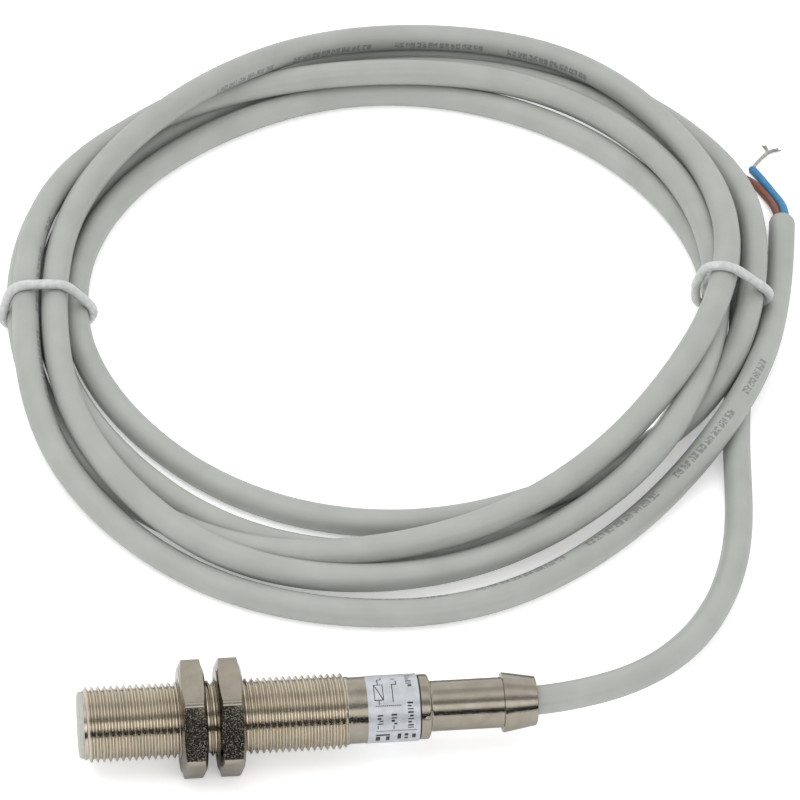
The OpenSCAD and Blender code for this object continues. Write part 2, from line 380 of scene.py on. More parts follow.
# How far a strand slides in X and Y for each millimetre that it rises, to keep its place in the view.
SEEN_SLOPE = (-0.17, -1.09)
# Each string tie: its middle in X and Y, the lean of its loop's top, and its turn seen from above.
LEFT_TIE = (1, 104, -0.15, 0)
RIGHT_TIE = (120.5, 100.5, -0.5, -0.3)
TURNS = [
    [(61, 0), (59, 0), (68, 0), (71.5, 0), (69, 0), (65.5, 0),
     (64, 0), (62.5, 0), (62, 0), (63, 0), (59, 0), (55, 0)],
    [(52, 0), (55.5, 0), (58, 0), (61, 0), (62.5, 0), (60, 0),
     (59.5, 0), (58, 0), (55.5, 0), (54.5, 0), (52, 0), (52, 0.5)],
    [(56, 0.7), (60.5, 0.9), (71.5, 0.1), (75.5, 0), (73.5, 0), (70.5, 0),
     (70, 0), (67.5, 0), (68.5, 0), (67.5, 0.3), (60.5, 1), (52, 1.1)],
    [(50.5, 1.4), (56, 1.7), (65, 1.1), (74, 1), (72.5, 1), (64, 1.6),
     (63, 1), (61.5, 0.9), (66.5, 0.9), (71.5, 0.8), (65.5, 0.6), (57.5, 1)],
    [(52, 1.1), (54, 0.9), (60, 0.9), (64, 0.9), (63, 0.9), (66.5, 0.5),
     (68, 0.9), (66, 0.9), (70.5, 0.2), (75, 0), (72.5, 0), (63.5, 0.1), (61.5, 1)],
]


def coil_points():
    """The turns' stations as points, in millimetres."""
    points = []
    for turn in TURNS:
        for i, (radius, layer) in enumerate(turn):
            angle = math.radians(STATION * (i - 1))
            points.append((COIL_MIDDLE[0] + radius * math.cos(angle),
                           COIL_MIDDLE[1] + radius * math.sin(angle),
                           CABLE_Z + layer * CABLE_D))
    return points


def smooth_along(values, reach):
    """Evens out values along the cable, over reach points each way, with the ends kept in place."""
    weights = np.exp(-0.5 * (np.arange(-2 * reach, 2 * reach + 1) / reach) ** 2)
    weights /= weights.sum()
    padded = np.pad(values, ((2 * reach, 2 * reach), (0, 0)), mode="reflect", reflect_type="odd")
    return np.stack([np.convolve(padded[:, k], weights, mode="valid") for k in range(3)], axis=1)


def eased(path, reach):
    """The path with its small waves taken out but its wide bends as they were."""
    once = smooth_along(path, reach)
    return 2 * once - smooth_along(once, reach)


def table_height(path):
    """The lowest that the cable's middle may lie: on the table, or on a tie that passes under it."""
    left = np.exp(-((path[:, 0] - LEFT_TIE[0]) / 11) ** 4 - ((path[:, 1] - LEFT_TIE[1]) / 8) ** 2)
    right = np.exp(-((path[:, 0] - RIGHT_TIE[0]) / 6.5) ** 4 - ((path[:, 1] - RIGHT_TIE[1]) / 8) ** 2)
    return CABLE_Z + 2 * TIE_R * PRESSED * (left + right)


def settle(path, free, spacing, rounds=70):
    """Lets the turns sink onto the table and each other, a diameter apart.

    Strands side by side push each other sideways, and a strand that starts above another stays
    above it. A point that rises or sinks slides along SEEN_SLOPE, so the coil's outline stays put.
    The points before the free one don't move.
    """
    start = path.copy()
    near = int(3 * CABLE_D / spacing)
    index = np.arange(len(path))
    apart = np.abs(index[:, None] - index[None, :]) > near
    above = start[:, None, 2] - start[None, :, 2]
    crossing = np.abs(above) > 0.3 * CABLE_D
    gap = CABLE_D * 1.01
    lowest = table_height(start)
    lift = np.zeros(len(path))
    side = np.zeros((len(path), 2))
    for step in range(rounds):
        if step < rounds * 0.7:
            lift[free:] -= 0.1
        for _ in range(2):
            lift[free:] = np.maximum(lift[free:], (lowest - start[:, 2])[free:])
            path = moved(start, lift, side)
            flat = path[:, None, :2] - path[None, :, :2]
            across = np.linalg.norm(flat, axis=2) + 1e-9
            wanted = np.sqrt(np.clip(gap ** 2 - across ** 2, 0, None))
            height = (path[:, None, 2] - path[None, :, 2]) * np.sign(above)
            short = np.where(apart & crossing, np.clip(wanted - height, 0, None) * (wanted > 0), 0)
            up = (short * (above > 0)).max(axis=1)
            down = (short * (above < 0)).max(axis=1)
            lift += 0.6 * up - 0.25 * down
            reach = np.sqrt(across ** 2 + height ** 2)
            close = np.where(apart & ~crossing, np.clip(gap - reach, 0, None), 0)
            push = (flat / across[:, :, None]) * close[:, :, None]
            count = np.maximum((close > 0).sum(axis=1), 1)
            side += 0.5 * push.sum(axis=1) / count[:, None]
        lift[:free] = 0
        side[:free] = 0
        if step < rounds - 3:
            both = smooth_along(np.column_stack([side, lift]), 2)
            side, lift = both[:, :2], both[:, 2]
    lift[free:] = np.maximum(lift[free:], (lowest - start[:, 2])[free:])
    return moved(start, lift, side)


def moved(start, lift, side):
    """The start path with its points lifted, and slid sideways."""
    path = start.copy()
    path[:, 0] += side[:, 0] + lift * SEEN_SLOPE[0]
    path[:, 1] += side[:, 1] + lift * SEEN_SLOPE[1]
    path[:, 2] += lift
    return path


def cable_path():
    """The lead's middle line, from its grip in the fitting to the cut end of the jacket."""
    spacing = 2.5
    path = curve_through(LEAD_ROUTE + coil_points() + TAIL_ROUTE, spacing)
    free = int(length_of(curve_through(LEAD_ROUTE[:LEVEL], spacing)) / spacing)
    # the line is eased from 2 mm past the fitting, fully from 10 mm past it and all along the coil
    outside = np.clip((path[:, 0] - FITTING_END - 2) / 8, 0, 1)[:, None]
    outside[int(100 / spacing):] = 1
    path = path + (eased(path, 4) - path) * outside
    path = settle(path, free, spacing)
    path = path + (eased(path, 4) - path) * outside
    return even(path, 2.0)


def rounded_end(path, rounding=0.7):
    """The path with closer points near its last end, and radii that round the jacket's cut rim.
    The rounding is in millimetres."""
    last, before = path[-1], path[-2]
    heading = (last - before) / np.linalg.norm(last - before)
    extra, radii = [], [1.0] * (len(path) - 1)
    for k in range(6):
        turn = math.radians(90 * k / 5)
        extra.append(last - heading * rounding * (1 - math.sin(turn)))
        radii.append(1 - rounding / CABLE_R * (1 - math.cos(turn)))
    return np.vstack([path[:-1], extra]), radii


def make_cable(path):
    """The jacket in one piece, from the fitting through the coil to its free end."""
    points, radii = rounded_end(path)
    cable = tube("lead_cable", points, CABLE_R, 24, radii)
    return finish_piece(cable, "sensor", "cable_jacket", "cable_lead", "cable_coil", "cable_tail")


# ---------------------------------------------------------------- ties, cores and bare strands

# From inside the jacket's end, out and down to the table.
BLUE_ROUTE = [(134.9, 119.5, -5.9), (135.4, 123.5, -6.2), (135.4, 127, -7), (134.6, 131, CORE_Z),
              (133.3, 134.8, CORE_Z), (132, 138, CORE_Z)]
BROWN_ROUTE = [(134, 119.5, -6.3), (134.1, 123.3, -6.6), (134, 126.7, -7.2), (133.2, 130.2, CORE_Z),
               (131.8, 133.4, CORE_Z), (129.5, 136, CORE_Z)]
# The bare strands start inside the cores, and the blue core's spread in two.
STRAND_Z = -8.05
STRAND_R = 0.13
BLUE_FORKS = [[(131.8, 137.2), (132.8, 139), (134.3, 141), (135.6, 142.4), (137, 143.2), (138.6, 143.5)],
              [(131.8, 137.2), (132.8, 139), (134.3, 141), (135.6, 142.4), (135.9, 143.6), (135.5, 144.9)]]
BROWN_FORKS = [[(130.2, 135.4), (128.6, 136.6), (127, 137.7), (125, 139)]]


def tie_loop(path, place, reach):
    """A closed loop of string drawn tight round the strands that cross its leaning plane.
    It holds the strands within reach, in millimetres, of its middle."""
    x0, y0, lean, turned_by = place
    side = path[:, 1] - y0 - lean * (path[:, 2] - FLOOR_Z) - turned_by * (path[:, 0] - x0)
    crosses = np.nonzero(side[:-1] * side[1:] <= 0)[0]
    centres = [path[i, [0, 2]] for i in crosses if abs(path[i, 0] - x0) < reach]
    loop = []
    steps = 120
    for k in range(steps):
        turn = 2 * math.pi * k / steps
        out = np.array([math.cos(turn), math.sin(turn)])
        far = max(centres, key=lambda c: float(c @ out))
        x, z = far + out * (CABLE_R + TIE_R * 0.97)
        z = max(z, FLOOR_Z + TIE_R * PRESSED)
        loop.append((x, y0 + lean * (z - FLOOR_Z) + turned_by * (x - x0), z))
    ring = even(np.array(loop + loop[:1]), 0.7)[:-1]
    for _ in range(2):
        ring = (np.roll(ring, 1, axis=0) + 2 * ring + np.roll(ring, -1, axis=0)) / 4
    return ring


def make_tie(name, path, place, reach, node):
    """One string tie, a little lumpy, and pressed flatter where the coil stands on it."""
    ring = tie_loop(path, place, reach)
    chance = random.Random(len(name))
    marks = np.arange(0, len(ring) + 3, 3)
    lumps = np.interp(np.arange(len(ring)), marks, [chance.uniform(0.93, 1.0) for _ in marks])
    height = (ring[:, 2] - FLOOR_Z) / TIE_R
    lumps = lumps * np.clip(height, PRESSED, 1)
    tie = tube(name, ring, TIE_R, 16, list(lumps), closed=True)
    return finish_piece(tie, "sensor", "tie_string", node)


def make_core(name, route, slot, node):
    """One insulated core, with the cut end of its sleeve a little rounded."""
    points = curve_through(route, 0.4)
    radii = [1.0] * (len(points) - 2) + [0.97, 0.8]
    return finish_piece(tube(name, points, CORE_R, 20, radii), "sensor", slot, node)


def make_strands(name, forks, count, node):
    """Fine tinned strands twisted together, each following one of the forks."""
    chance = random.Random(7 + count)
    pieces = []
    for k in range(count):
        fork = forks[k % len(forks)]
        points = curve_through([(x, y, STRAND_Z) for x, y in fork], 0.25)
        run = np.arange(len(points)) * 0.25
        open_out = 1 + np.clip((run - 0.72 * run[-1]) / (0.28 * run[-1]), 0, 1) * 0.5
        turn = 2 * math.pi * (k / count + run / 3.2)
        heading = np.gradient(points, axis=0)
        heading /= np.linalg.norm(heading, axis=1)[:, None]
        across = np.cross(heading, [0, 0, 1])
        spread = 0.2 * open_out
        points = points + across * (np.cos(turn) * spread)[:, None]
        points[:, 2] += np.sin(turn) * 0.2
        keep = len(points) - int(chance.uniform(0, 4))
        pieces.append(tube(f"strand_{k}", points[:keep], STRAND_R, 8))
    bundle = joined(name, pieces)
    return finish_piece(bundle, "sensor", "tinned_copper", node)


# ---------------------------------------------------------------- barrel, nuts, cap and fitting


def thread_outline(turns):
    """Corners of the thread's section over the given turns: (distance along, radius).
    Each tooth has 60 degrees between its flanks and a narrow, rounded crest."""
    root = THREAD_R - THREAD_DEPTH
    flank = THREAD_DEPTH * math.tan(math.radians(30))
    crest = 0.055
    half = [(flank + crest, root), (crest + 0.035, THREAD_R - 0.045), (crest - 0.02, THREAD_R - 0.008)]
    tooth = [(0.0, root)] + [(PITCH / 2 - x, r) for x, r in half] + [(PITCH / 2, THREAD_R)]
    tooth += [(PITCH / 2 + x, r) for x, r in reversed(half)]
    return [(turn * PITCH + x, r) for turn in turns for x, r in tooth]


def cut_across(bm, x, keep_rear):
    """Cuts the shape square across at x, and keeps what is behind it or what is in front."""
    geom = bm.verts[:] + bm.edges[:] + bm.faces[:]
    bmesh.ops.bisect_plane(bm, geom=geom, dist=1e-8, plane_co=(x * MM, 0, 0), plane_no=(1, 0, 0),
                           clear_inner=keep_rear, clear_outer=not keep_rear)


def next_ring(bm, edges, x, radius):
    """Extrudes a ring of edges to a new ring at x with the given radius."""
    made = bmesh.ops.extrude_edge_only(bm, edges=edges)["geom"]
    for vert in (v for v in made if isinstance(v, bmesh.types.BMVert)):
        scale = radius * MM / math.hypot(vert.co.y, vert.co.z)
        vert.co = (x * MM, vert.co.y * scale, vert.co.z * scale)
    return [e for e in made if isinstance(e, bmesh.types.BMEdge)]


def make_barrel():
    """The tube with its helical thread, plain rear stretch and bore.
    A cone at each end takes the first and last turns of the thread down, as on a turned part."""
    steps = 96
    start_r, cone = 5.42, 1.1
    root = THREAD_R - THREAD_DEPTH
    bm = bmesh.new()
    bmesh.ops.spin(bm, geom=outline(bm, thread_outline(range(-1, 44)), closed=False), cent=(0, 0, 0),
                   axis=(1, 0, 0), dvec=(PITCH * MM / steps, 0, 0), angle=2 * math.pi, steps=steps,
                   use_merge=False, use_duplicate=False)
    bmesh.ops.remove_doubles(bm, verts=bm.verts, dist=0.003 * MM)
    for vert in bm.verts:
        x = vert.co.x / MM
        radius = math.hypot(vert.co.y, vert.co.z) / MM
        most = min(THREAD_R, start_r + (x - BARREL_FRONT) * cone, start_r + (THREAD_END + 0.15 - x) * cone)
        if radius > most > BORE_R:
            vert.co.y *= most / radius
            vert.co.z *= most / radius
    cut_across(bm, BARREL_FRONT, True)
    cut_across(bm, THREAD_END, False)
    rims = [e for e in bm.edges if e.is_boundary]
    front = [e for e in rims if e.verts[0].co.x < 10 * MM]
    rear = [e for e in rims if e.verts[0].co.x > 10 * MM]
    for x, radius in ((THREAD_END + 0.05, root), (THREAD_END + 0.35, root),
                      (THREAD_END + 0.55, BODY_R + 0.03), (THREAD_END + 0.7, BODY_R), (LABEL_FRONT, BODY_R),
                      (BARREL_REAR - 0.12, BODY_R), (BARREL_REAR - 0.03, BODY_R - 0.04),
                      (BARREL_REAR, BODY_R - 0.12), (BARREL_REAR, BORE_R)):
        rear = next_ring(bm, rear, x, radius)
    front = next_ring(bm, front, BARREL_FRONT, BORE_R)
    bmesh.ops.bridge_loops(bm, edges=front + rear)
    clean(bm, 0.0005)
    shade(bm, 28)
    finish_piece(new_object("threaded_barrel", bm), "sensor", "nickel_brass", "barrel")


def applied(piece, kind, **settings):
    """Puts one modifier's result into the piece's mesh."""
    modifier = piece.modifiers.new(kind.lower(), kind)
    for key, value in settings.items():
        setattr(modifier, key, value)
    bpy.context.view_layer.update()
    mesh = bpy.data.meshes.new_from_object(piece.evaluated_get(bpy.context.evaluated_depsgraph_get()))
    piece.modifiers.clear()
    old = piece.data
    piece.data = mesh
    bpy.data.meshes.remove(old)


def hex_blank(node, name):
    """A hexagonal slug of the nut's size with rounded corners, a flat uppermost."""
    front, rear = size(node, 0)
    flat = size(node, 2)[1]
    across = flat / math.cos(math.radians(30)) * MM
    bm = bmesh.new()
    bmesh.ops.create_cone(bm, cap_ends=True, segments=6, radius1=across, radius2=across,
                          depth=(rear - front) * MM)
    bmesh.ops.rotate(bm, verts=bm.verts, cent=(0, 0, 0), matrix=Matrix.Rotation(math.pi / 2, 3, "Y"))
    corners = [e for e in bm.edges if abs(e.verts[0].co.x - e.verts[1].co.x) > (rear - front) / 2 * MM]
    bmesh.ops.bevel(bm, geom=corners, offset=0.56 * MM, offset_type="OFFSET", affect="EDGES", segments=5,
                    profile=0.5, material=-1)
    bmesh.ops.translate(bm, verts=bm.verts, vec=((front + rear) / 2 * MM, 0, 0))
    bmesh.ops.recalc_face_normals(bm, faces=bm.faces)
    return new_object(name, bm)


def nut_chamfer(node):
    """The turned shape that the nut must fit in, which chamfers its corners on both faces."""
    front, rear = size(node, 0)
    flat, corner = size(node, 2)[1], size(node, 1)[1]
    points = [(front, 0), (front, flat - 0.45), (front + 0.26, flat), (front + 0.55, corner),
              (rear - 0.55, corner), (rear - 0.26, flat), (rear, flat - 0.45), (rear, 0)]
    return turned(points, 96, closed=False)


def nut_bore(node):
    """The hole through the nut, countersunk on both faces."""
    front, rear = size(node, 0)
    hole, sink, past = THREAD_R + 0.05, 0.45, 1
    points = [(front - past, 0), (front - past, hole + sink), (front, hole + sink), (front + sink, hole),
              (rear - sink, hole), (rear, hole + sink), (rear + past, hole + sink), (rear + past, 0)]
    return turned(points, 96, closed=False)


def make_nut(node, name):
    """A flat nut: rounded hexagon corners, chamfered faces, a countersunk bore and softened edges."""
    nut = hex_blank(node, name)
    chamfer = new_object("chamfer", nut_chamfer(node))
    drill = new_object("drill", nut_bore(node))
    applied(nut, "BOOLEAN", operation="INTERSECT", object=chamfer, solver="EXACT")
    applied(nut, "BOOLEAN", operation="DIFFERENCE", object=drill, solver="EXACT")
    for tool in (chamfer, drill):
        bpy.data.objects.remove(tool)
    bm = bmesh.new()
    bm.from_mesh(nut.data)
    clean(bm, 0.002)
    edges = [e for e in bm.edges if e.is_manifold and e.calc_face_angle(0) > math.radians(17)
             and e.calc_length() > 0.02 * MM]
    bmesh.ops.bevel(bm, geom=edges, offset=0.05 * MM, offset_type="OFFSET", affect="EDGES", segments=2,
                    profile=0.5, material=-1, clamp_overlap=True)
    clean(bm, 0.001)
    shade(bm, 30)
    bm.to_mesh(nut.data)
    bm.free()
    finish_piece(nut, node, "nut_nickel", node)


def make_cap():
    """The moulded face cap: a disc with a rounded rim, and a sleeve inside the barrel."""
    r = size("face_cap", 1)[1]
    depth = size("face_cap", 0)[1]
    lip, face, inner = 0.8, 0.9, BORE_R - 0.45
    points = [(0, 0), (0, r - 0.9), (0.02, r - 0.5), (0.1, r - 0.17), (0.24, r - 0.04), (0.4, r), (lip, r),
              (lip, BORE_R), (depth, BORE_R), (depth, inner), (face, inner), (face, 0)]
    bm = turned(points, 96, closed=False)
    shade(bm, 50)
    finish_piece(new_object("sensing_cap", bm), "sensor", "cap_plastic", "face_cap")


def make_label():
    """The foil label, wrapped round the plain stretch of the barrel."""
    outer = size("rating_label", 1)[1]
    points = rounded([(LABEL_FRONT, BODY_R), (LABEL_FRONT, outer, 1), (LABEL_REAR, outer, 1),
                      (LABEL_REAR, BODY_R)], 0.03, 2)
    bm = turned(points, 128)
    shade(bm, 50)
    finish_piece(new_object("foil_label", bm), "sensor", "label_foil", "rating_label")


def make_seal():
    """The rubber ring between the barrel and the tail fitting, with softened edges."""
    front, rear = size("rear_seal", 0)
    outer = size("rear_seal", 1)[1]
    points = rounded([(front, BORE_R), (front, outer, 1), (rear, outer, 1), (rear, BORE_R)], 0.05, 2)
    bm = turned(points, 96)
    shade(bm, 40)
    finish_piece(new_object("seal_ring", bm), "sensor", "seal_rubber", "rear_seal")


def make_fitting():
    """The turned tail fitting: spigot, collar with a rounded rear edge, neck and barb.
    A punch has left a dimple in the collar, which locks it."""
    collar = size("tail_fitting", 2)[1]
    front = size("tail_fitting", 0)[0]
    start = size("rear_seal", 0)[1]
    collar_end, barb, grip = 55.2, 66.8, 66.0
    neck, barb_r, tip, hollow = 4.0, 4.75, 3.9, 3.0
    points = [(front, hollow), (front, BORE_R), (start, BORE_R),
              (start, collar - 0.06), (start + 0.06, collar),
              (collar_end - 0.5, collar), (collar_end - 0.28, collar - 0.06),
              (collar_end - 0.12, collar - 0.2), (collar_end - 0.02, collar - 0.42),
              (collar_end, collar - 0.6), (collar_end, neck + 0.35),
              (collar_end + 0.1, neck + 0.14), (collar_end + 0.3, neck + 0.02), (collar_end + 0.5, neck),
              (barb - 0.15, neck), (barb - 0.04, neck + 0.03), (barb, neck + 0.12), (barb, barb_r - 0.16),
              (barb + 0.04, barb_r - 0.05), (barb + 0.15, barb_r), (barb + 0.35, barb_r - 0.01),
              (FITTING_END - 0.3, tip + 0.04), (FITTING_END - 0.12, tip - 0.02), (FITTING_END, tip - 0.2),
              (FITTING_END, CABLE_R + 0.12), (FITTING_END - 0.12, CABLE_R), (grip, CABLE_R), (grip, hollow)]
    bm = turned(points, 128)
    shade(bm, 35)
    fitting = new_object("lead_fitting", bm)
    dimple, turn, out = 54.5, math.radians(65), collar + 0.32
    bm = bmesh.new()
    bmesh.ops.create_uvsphere(bm, u_segments=24, v_segments=12, radius=0.6 * MM)
    bmesh.ops.translate(bm, verts=bm.verts, vec=(dimple * MM, -math.sin(turn) * out * MM,
                                                 math.cos(turn) * out * MM))
    punch = new_object("punch", bm)
    applied(fitting, "BOOLEAN", operation="DIFFERENCE", object=punch, solver="EXACT")
    bpy.data.objects.remove(punch)
    finish_piece(fitting, "sensor", "nickel_brass", "tail_fitting")


# ---------------------------------------------------------------- materials

FINISHES = {}


def begin(slot, name, colour, roughness, metallic=0.0, **sockets):
    """A new material for a slot: its node tree, its shader and the object's own coordinates."""
    made = bpy.data.materials.new(name)
    made.use_nodes = True
    tree = made.node_tree
    shader = tree.nodes["Principled BSDF"]
    shader.inputs["Base Color"].default_value = linear(colour)
    shader.inputs["Roughness"].default_value = roughness
    shader.inputs["Metallic"].default_value = metallic
    for socket, value in sockets.items():
        shader.inputs[socket.replace("_", " ")].default_value = value
    FINISHES[slot] = made
    return tree, shader, add(tree, "ShaderNodeTexCoord").outputs["Object"]


def grain(tree, place, across, detail=2.0, rough=0.5, along=(1, 1, 1)):
    """Noise with blotches about across millimetres wide, and longer on an axis where along is over 1."""
    scale = [1 / (across * MM * a) for a in along]
    mapped = add(tree, "ShaderNodeMapping", {"Vector": place, "Scale": scale}).outputs[0]
    return add(tree, "ShaderNodeTexNoise", {"Vector": mapped, "Scale": 1.0, "Detail": detail,
                                            "Roughness": rough}).outputs["Fac"]


def colours(tree, shader, factor, stops):
    """Colours the surface by a factor; stops are (place, hex colour)."""
    tree.links.new(ramp(tree, factor, [(p, linear(c)) for p, c in stops]), shader.inputs["Base Color"])


def gloss(tree, shader, factor, low, high):
    """Varies the roughness from low to high as the factor goes from 0.3 to 0.7."""
    spread = add(tree, "ShaderNodeMapRange", {0: factor, 1: 0.3, 2: 0.7, 3: low, 4: high})
    tree.links.new(spread.outputs[0], shader.inputs["Roughness"])


def relief(tree, shader, height, depth, under=None):
    """Raises the surface by a height times depth in millimetres; under is an earlier relief."""
    inputs = {"Height": height, "Distance": depth * MM, "Strength": 1.0}
    if under is not None:
        inputs["Normal"] = under
    normal = add(tree, "ShaderNodeBump", inputs).outputs[0]
    tree.links.new(normal, shader.inputs["Normal"])
    return normal


def math_node(tree, operation, *values):
    """The result of a sum; values are numbers or other nodes' outputs."""
    return add(tree, "ShaderNodeMath", dict(enumerate(values)), operation=operation).outputs[0]


def nickel_plated_brass():
    """Bright nickel on turned brass: a warm grey mirror, fine turning lines and dull specks.
    The thread is painted with a lighter copy of the same metal's colour than the plain turned parts: a
    painted highlight for the light that its flanks catch."""
    tree, shader, place = begin("nickel_brass", "nickel_plated_turned_brass", "#A69F92", 0.15, 1.0)
    cloud = grain(tree, place, 2.5, 3)
    plain = ramp(tree, cloud, [(0.3, linear("#A0998B")), (0.7, linear("#ADA69A"))])
    # painted highlight: the threaded part gets a lighter copy of the nickel colour, standing in for the light
    # its flanks catch
    thread_painted_light = ramp(tree, cloud, [(0.3, linear("#C6BDAD")), (0.7, linear("#D2CABB"))])
    part = add(tree, "ShaderNodeSeparateXYZ", {0: place})
    threaded = math_node(tree, "LESS_THAN", part.outputs["X"], (THREAD_END + 0.1) * MM)
    mixed = add(tree, "ShaderNodeMix", {0: threaded, 6: plain, 7: thread_painted_light}, data_type="RGBA")
    tree.links.new(mixed.outputs[2], shader.inputs["Base Color"])
    specks = grain(tree, place, 0.22, 2, 0.6)
    gloss(tree, shader, specks, 0.08, 0.2)
    lines = grain(tree, place, 0.14, 1, along=(1, 300, 300))
    lined = relief(tree, shader, lines, 0.002)
    raised = ramp(tree, specks, [(0.5, 0), (0.7, 1)])
    relief(tree, shader, raised, 0.004, lined)


def nickel_plated_nut():
    """Barrel-plated nickel on milled flats: the same metal, with small raised specks that catch the light."""
    tree, shader, place = begin("nut_nickel", "barrel_plated_nickel", "#A69F92", 0.14, 1.0)
    cloud = grain(tree, place, 3.0, 3)
    colours(tree, shader, cloud, [(0.3, "#A0998B"), (0.7, "#ADA69A")])
    pits = grain(tree, place, 0.2, 3, 0.65)
    gloss(tree, shader, pits, 0.08, 0.15)
    raised = ramp(tree, pits, [(0.56, 0), (0.76, 1)])
    relief(tree, shader, raised, 0.012)


def moulded_face_plastic():
    """Glass-filled PBT, moulded: pale warm grey, dull, with a faint mottle."""
    tree, shader, place = begin("cap_plastic", "moulded_pbt", "#ABABA4", 0.5)
    mottle = grain(tree, place, 0.8, 4)
    colours(tree, shader, mottle, [(0.25, "#A3A39C"), (0.75, "#B2B2AB")])
    relief(tree, shader, grain(tree, place, 0.15, 2), 0.006)


# The jacket's ink: start and end along it in millimetres, and where round it at each. 0.625 is the
# top, and it grows towards the right of the lead's heading. LINE_HALF is half the line's height.
PRINTED = [(1362, 1446, 0.44, 0.40), (1885, 2000, 0.49, 0.54), (2000, 2102, 0.54, 0.75)]
LINE_HALF = 0.045


def pvc_jacket(length):
    """Extruded grey PVC: smooth and softly shiny, with slow waves in it and worn ink dashes."""
    tree, shader, place = begin("cable_jacket", "extruded_grey_pvc", "#9A9C97", 0.35, Specular_IOR_Level=0.5)
    cloud = grain(tree, place, 7.0, 3)
    base = ramp(tree, cloud, [(0.3, linear("#989B96")), (0.7, linear("#A0A39E"))])
    uv = add(tree, "ShaderNodeUVMap", uv_map="UVMap").outputs[0]
    part = add(tree, "ShaderNodeSeparateXYZ", {0: uv})
    run = math_node(tree, "MULTIPLY", part.outputs["X"], length)
    around = math_node(tree, "FRACT", math_node(tree, "ADD", part.outputs["Y"], 0.5))
    ink = None
    for start, end, first, last in PRINTED:
        here = math_node(tree, "COMPARE", run, (start + end) / 2, (end - start) / 2)
        slope = (last - first) / (end - start)
        offset = math_node(tree, "MULTIPLY_ADD", run, -slope, start * slope - first)
        band = math_node(tree, "COMPARE", math_node(tree, "ADD", around, offset), 0.0, LINE_HALF)
        both = math_node(tree, "MULTIPLY", here, band)
        ink = both if ink is None else math_node(tree, "MAXIMUM", ink, both)
    # a dash every 2.2 mm, a gap every 22 mm, and ink worn off in flecks
    dash = math_node(tree, "COMPARE", math_node(tree, "PINGPONG", run, 1.1), 0.62, 0.42)
    word = math_node(tree, "GREATER_THAN", math_node(tree, "PINGPONG", run, 11.0), 2.2)
    worn = math_node(tree, "GREATER_THAN", grain(tree, place, 0.45, 2), 0.44)
    left = math_node(tree, "MULTIPLY", dash, math_node(tree, "MULTIPLY", word, worn))
    faint = math_node(tree, "MULTIPLY", math_node(tree, "MULTIPLY", ink, left), 0.55)
    mixed = add(tree, "ShaderNodeMix", {0: faint, 6: base, 7: linear("#4A4C4E")}, data_type="RGBA")
    tree.links.new(mixed.outputs[2], shader.inputs["Base Color"])
    gloss(tree, shader, grain(tree, place, 1.2, 3), 0.3, 0.4)
    relief(tree, shader, grain(tree, place, 2.4, 3), 0.012)


# Bars printed on the label: left and right in millimetres from the face, then the degrees round
# from the top towards the front at which each begins and ends.
LABEL_BARS = [
    # the box symbol with its leads
    (46.15, 46.28, -1, 29), (47.52, 47.65, -1, 29), (46.15, 47.65, -1.6, 0), (46.15, 47.65, 28, 29.6),
    (46.8, 46.95, -14, -1), (46.8, 47.5, -15.5, -13.5), (47.4, 47.55, -22, -14), (46.8, 46.95, 29, 36),
    # the plain line beside it
    (49.0, 49.15, 0, 33), (49.0, 49.8, -1.5, 0.5), (49.7, 49.85, -10, 0), (49.0, 49.7, -16, -14),
    # short blocks under the symbols
    (46.5, 47.4, 54, 56.5), (46.5, 47.1, 59, 62), (46.8, 47.4, 64, 66), (46.5, 47.4, 69, 71),
    (46.5, 46.65, 73, 80),
    (48.7, 49.6, 53, 56), (48.7, 49.6, 59, 61), (48.7, 49.2, 63, 67), (49.1, 49.6, 69, 72),
    (49.0, 49.15, 74, 81),
    # two rows of small blocks near the rear edge
    (51.3, 52.2, -26, -23), (51.3, 52.2, -20, -18), (51.3, 51.8, -15, -12), (51.3, 52.2, -9, -6),
    (51.3, 52.2, -3, -1), (51.6, 52.2, 1, 5),
    (51.3, 52.2, 34, 37), (51.3, 51.9, 39.5, 42), (51.3, 52.2, 45, 47), (51.3, 52.2, 50, 53),
    (51.6, 52.2, 56, 59), (51.3, 52.2, 62, 64), (51.3, 51.9, 67, 70), (51.3, 52.2, 73, 76),
    (51.3, 52.2, 78, 80),
    # the thin line and the heavy blocks under it
    (46.3, 52.7, 84, 85.2), (46.3, 48.5, 92, 96), (46.3, 47.0, 98, 112), (47.9, 48.5, 98, 112),
    (49.7, 50.3, 92, 108), (50.8, 51.4, 92, 99), (50.8, 51.4, 102, 108), (52.0, 52.6, 94, 106),
]


def label_marks(tree, place):
    """The printed graphics, as a mask: plain bars placed by distance from the face and angle round."""
    part = add(tree, "ShaderNodeSeparateXYZ", {0: place})
    x = math_node(tree, "MULTIPLY", part.outputs["X"], 1 / MM)
    forward = math_node(tree, "MULTIPLY", part.outputs["Y"], -1.0)
    turn = math_node(tree, "MULTIPLY", math_node(tree, "ARCTAN2", forward, part.outputs["Z"]), 180 / math.pi)
    ink = None
    for left, right, top, bottom in LABEL_BARS:
        wide = math_node(tree, "COMPARE", x, (left + right) / 2, (right - left) / 2)
        tall = math_node(tree, "COMPARE", turn, (top + bottom) / 2, (bottom - top) / 2)
        both = math_node(tree, "MULTIPLY", wide, tall)
        ink = both if ink is None else math_node(tree, "MAXIMUM", ink, both)
    # the slanted stroke inside the box symbol
    slant = math_node(tree, "SUBTRACT", x, math_node(tree, "MULTIPLY", turn, 0.044))
    stroke = math_node(tree, "COMPARE", slant, 46.27, 0.08)
    inside = math_node(tree, "COMPARE", turn, 14.0, 15.0)
    stroke = math_node(tree, "MULTIPLY", stroke, inside)
    # the broken line that parts the symbols from the marks under them
    gaps = math_node(tree, "COMPARE", math_node(tree, "PINGPONG", x, 0.3), 0.15, 0.1)
    broken = math_node(tree, "MULTIPLY", gaps, math_node(tree, "COMPARE", turn, 39.0, 0.9))
    broken = math_node(tree, "MULTIPLY", broken, math_node(tree, "COMPARE", x, 48.3, 2.0))
    return math_node(tree, "MAXIMUM", math_node(tree, "MAXIMUM", ink, stroke), broken)


